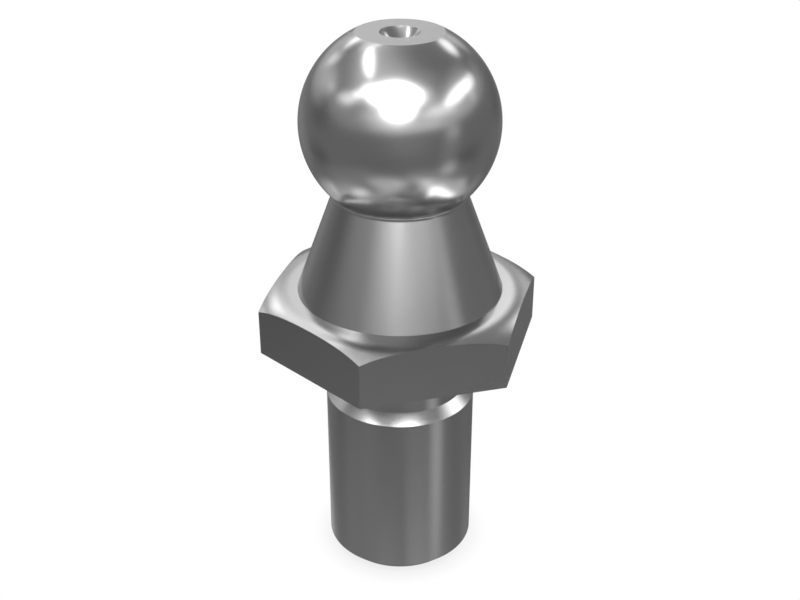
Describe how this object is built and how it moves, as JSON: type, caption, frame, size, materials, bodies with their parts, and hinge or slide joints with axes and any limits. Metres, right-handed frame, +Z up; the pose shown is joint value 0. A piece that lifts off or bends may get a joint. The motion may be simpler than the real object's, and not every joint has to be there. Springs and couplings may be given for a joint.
{
  "type": "ball stud",
  "caption": "One-piece steel ball stud: a polished ball with a flat top on a cone, a crowned spanner hexagon, a relief groove and a plain round shank.",
  "frame": {"origin": "centre of the shank's end face, on the turning axis", "axes": "+Z up the turning axis from the shank's end to the ball, +X towards a corner of the hexagon, +Y square to one of its flats"},
  "size_m": [0.015, 0.013, 0.0295],
  "materials": {
    "turned_steel": "bare turned steel: satin hexagon, cone and shank with fine lathe marks, and a brighter polished ball"
  },
  "bodies": {
    "root": {"ball_stud": "turned_steel"}
  },
  "joints": []
}
